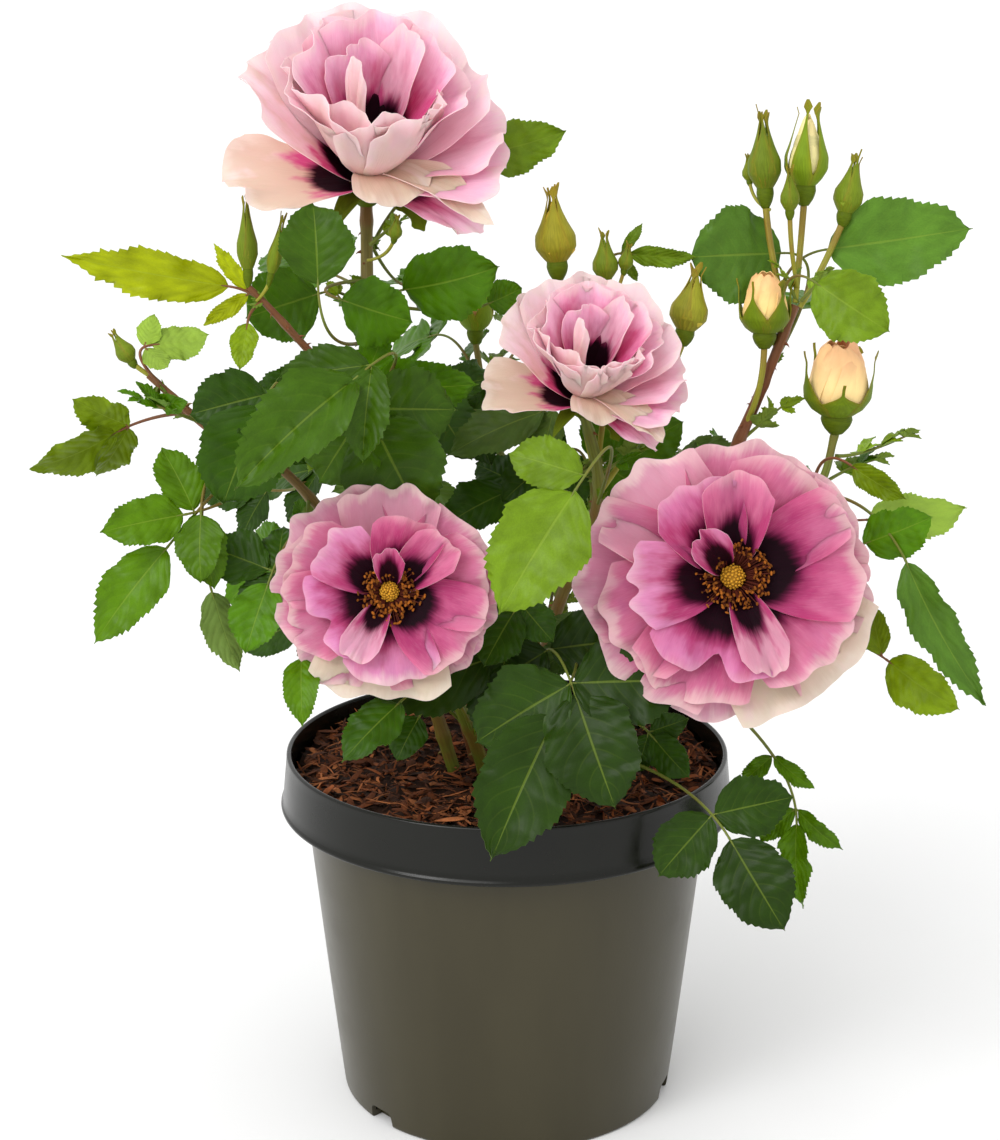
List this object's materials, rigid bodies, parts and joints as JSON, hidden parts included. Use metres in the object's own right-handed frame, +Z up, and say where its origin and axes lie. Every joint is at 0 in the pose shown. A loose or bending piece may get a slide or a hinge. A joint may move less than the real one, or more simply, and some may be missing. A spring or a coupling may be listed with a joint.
{
  "type": "potted rose bush",
  "caption": "Young shrub rose in a round nursery pot: thorny canes, toothed compound leaves, closed buds and wide ruffled mauve-pink blooms with dark eyes.",
  "frame": {"origin": "centre of the pot's flat underside", "axes": "+Z up; -Y is the side that the blooms face; +X to the right seen from that side"},
  "size_m": [0.3835, 0.2635, 0.4761],
  "materials": {
    "pot_plastic": "injection-moulded dark olive-grey plastic, semi-gloss, glossier on the rim band",
    "soil": "loose red-brown shredded coir and bark fibre, matt",
    "cane": "green to red-brown smooth bark with fine ridges and small prickles",
    "leaf": "satin green leaf with a paler midrib and veins, lighter beneath",
    "petal": "soft matt mauve-pink petal, cream rim, dark plum blotch at its base",
    "bud": "green sepals over pale yellow and cream petals"
  },
  "bodies": {
    "root": {"bloom_left": "petal", "bloom_middle": "petal", "bloom_right": "petal", "bloom_top": "petal", "bough_back": "cane", "bough_far_right": "cane", "bough_upper_left": "cane", "bud_back": "bud", "bud_far_left": "bud", "bud_middle_right": "bud", "bud_middle_small": "bud", "bud_middle_tall": "bud", "bud_upper_left": "bud", "bud_upper_right_a": "bud", "bud_upper_right_b": "bud", "bud_upper_right_c": "bud", "bud_upper_right_d": "bud", "bud_yellow_left": "bud", "bud_yellow_right": "bud", "cane_left": "cane", "cane_left_bloom": "cane", "cane_middle_bloom": "cane", "cane_right": "cane", "cane_right_bloom": "cane", "cane_top_bloom": "cane", "foliage_back_left": "leaf", "foliage_back_low": "leaf", "foliage_back_right": "leaf", "foliage_back_upper": "leaf", "foliage_centre": "leaf", "foliage_far_left": "leaf", "foliage_left": "leaf", "foliage_left_inner": "leaf", "foliage_low_front": "leaf", "foliage_low_left": "leaf", "foliage_low_right": "leaf", "foliage_middle": "leaf", "foliage_middle_left": "leaf", "foliage_middle_top": "leaf", "foliage_right": "leaf", "foliage_right_low": "leaf", "foliage_side_left": "leaf", "foliage_trailing": "leaf", "foliage_under_top_bloom": "leaf", "foliage_upper_left": "leaf", "foliage_upper_middle": "leaf", "foliage_upper_right": "leaf", "pot": "pot_plastic", "soil": "soil"}
  },
  "joints": []
}
